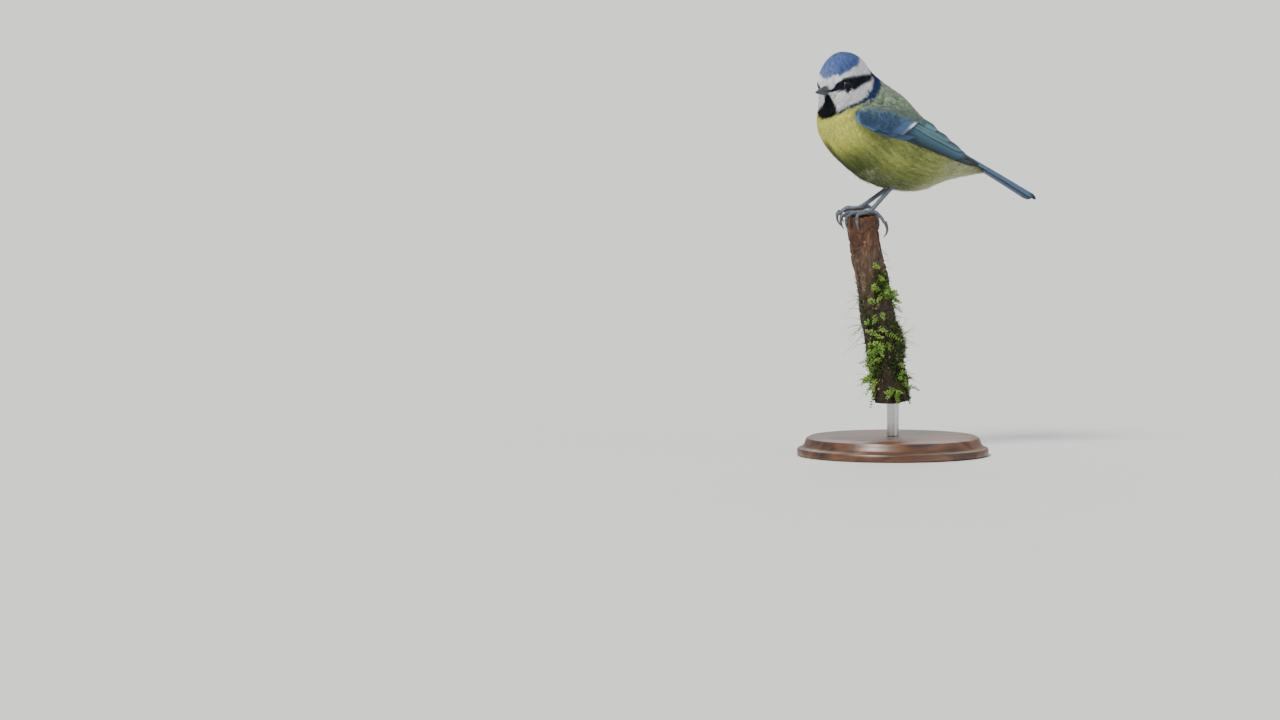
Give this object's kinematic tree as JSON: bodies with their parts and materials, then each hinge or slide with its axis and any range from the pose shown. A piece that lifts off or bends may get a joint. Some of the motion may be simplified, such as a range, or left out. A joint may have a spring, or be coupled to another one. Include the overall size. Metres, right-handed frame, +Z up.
{
  "type": "blue tit on a mossy twig",
  "caption": "Life-size blue tit gripping the broken end of a mossy twig, on a turned display base with one short rod.",
  "frame": {"origin": "centre of the underside of the stand's base", "axes": "+Z up; the bird faces -X and its left side is towards -Y"},
  "size_m": [0.1043, 0.08, 0.1683],
  "materials": {
    "coat": "soft matt feathers: blue, white, black, yellow and green by region",
    "flight_feathers": "smooth blue vanes",
    "eye": "black and glossy",
    "horn": "dark grey horn of bill and claws",
    "leg": "blue-grey scaly skin",
    "bark": "rough reddish-brown bark with an orange broken end",
    "moss": "bright green moss",
    "rod": "satin steel rod",
    "base": "satin turned wood"
  },
  "bodies": {
    "root": {"head": "coat", "neck": "coat", "breast": "coat", "belly": "coat", "back": "coat", "rump": "coat", "vent": "coat", "eye_left": "eye", "eye_right": "eye", "bill_upper": "horn", "bill_lower": "horn", "wing_left": "flight_feathers", "wing_right": "flight_feathers", "tail": "flight_feathers", "thigh_left": "coat", "tarsus_left": "leg", "foot_left": "leg", "claw_left_1": "horn", "claw_left_2": "horn", "claw_left_3": "horn", "claw_left_4": "horn", "thigh_right": "coat", "tarsus_right": "leg", "foot_right": "leg", "claw_right_1": "horn", "claw_right_2": "horn", "claw_right_3": "horn", "claw_right_4": "horn", "perch": "bark", "moss_1": "moss", "moss_2": "moss", "moss_3": "moss", "stand_rod": "rod", "stand_base": "base"}
  },
  "joints": []
}
